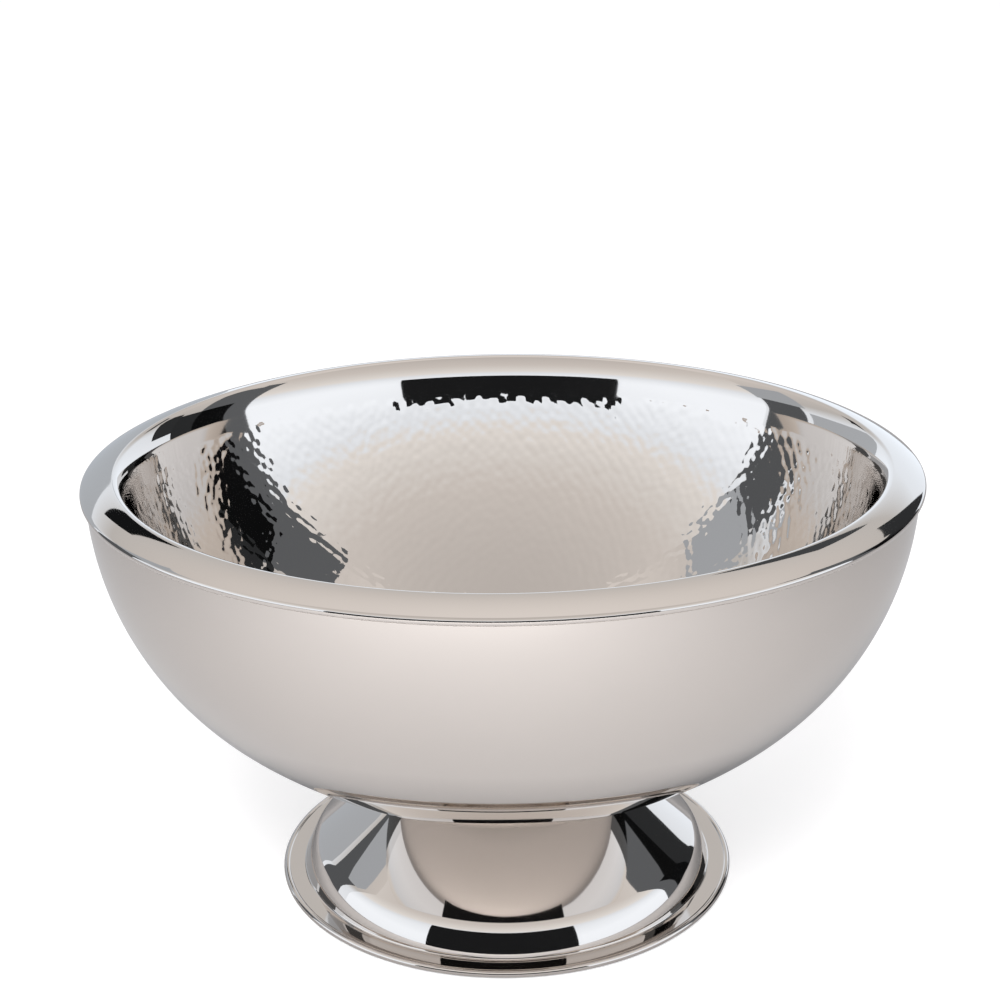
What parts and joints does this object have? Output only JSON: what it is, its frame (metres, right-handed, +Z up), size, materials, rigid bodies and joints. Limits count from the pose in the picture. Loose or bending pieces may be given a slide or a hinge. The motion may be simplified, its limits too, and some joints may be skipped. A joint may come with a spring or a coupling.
{
  "type": "punch bowl",
  "caption": "Double-walled footed punch bowl: hammered liner with a broad rolled lip, smooth outer shell, and a spun pedestal foot bolted on underneath.",
  "frame": {"origin": "centre of the footprint, on the surface that the bowl stands on", "axes": "+Z up along the axis of the bowl; the bowl is round, so X and Y are free; -Y faces the viewer"},
  "size_m": [0.4, 0.3998, 0.22],
  "materials": {
    "hammered_steel": "mirror-polished stainless steel; hammered dimples inside the bowl, smooth on the band and lip",
    "polished_steel": "mirror-polished stainless steel, spun",
    "plain_steel": "unpolished stainless sheet with a fine grain",
    "zinc_steel": "bright zinc-plated fasteners",
    "pad_rubber": "dense dark foam rubber",
    "seal_rubber": "thin black seal",
    "ring_rubber": "matt dark grey soft ring"
  },
  "bodies": {
    "root": {"inner_bowl": "hammered_steel", "outer_shell": "polished_steel", "pedestal_foot": "polished_steel", "spacer_pad": "pad_rubber", "stud_plate": "plain_steel", "foot_stud": "zinc_steel", "neck_gasket": "seal_rubber", "bridge_plate": "plain_steel", "plain_washer": "zinc_steel", "spring_washer": "zinc_steel", "hex_nut": "zinc_steel", "edge_wire": "plain_steel", "base_ring": "ring_rubber"}
  },
  "joints": []
}
